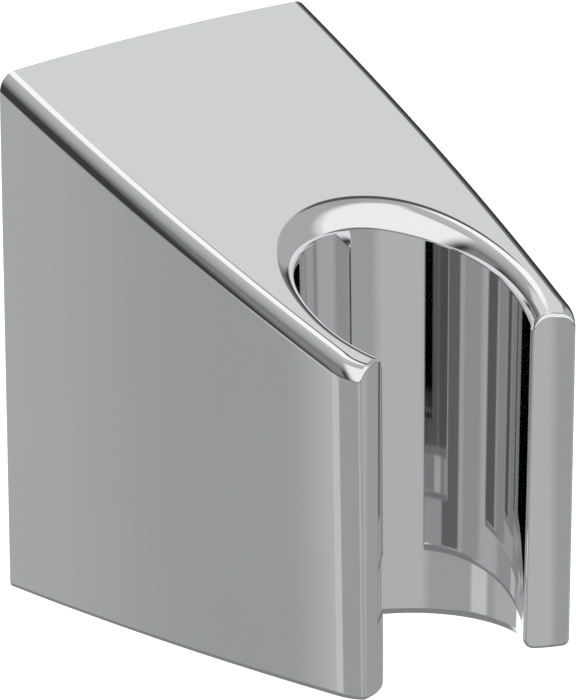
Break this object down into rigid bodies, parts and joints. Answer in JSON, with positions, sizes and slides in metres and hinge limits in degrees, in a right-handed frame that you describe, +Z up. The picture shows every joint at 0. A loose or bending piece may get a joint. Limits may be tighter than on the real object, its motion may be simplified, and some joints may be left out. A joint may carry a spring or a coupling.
{
  "type": "hand shower holder",
  "caption": "Wall holder for a hand shower: a chrome wedge with an upright tapered cradle, slotted at the front for the hose, hung and locked on a hidden wall bracket.",
  "frame": {"origin": "on the wall, midway between the two wall screw holes", "axes": "+Y into the wall, so the holder stands out along -Y; +Z up; +X to the right when facing the wall"},
  "size_m": [0.0394, 0.0487, 0.0542],
  "materials": {
    "shell": "polished",
    "bracket": "fine grain",
    "insert": "turned",
    "screw": "plain"
  },
  "bodies": {
    "root": {"holder_body": "shell", "wall_bracket": "bracket", "threaded_insert": "insert", "locking_screw": "screw"}
  },
  "joints": []
}
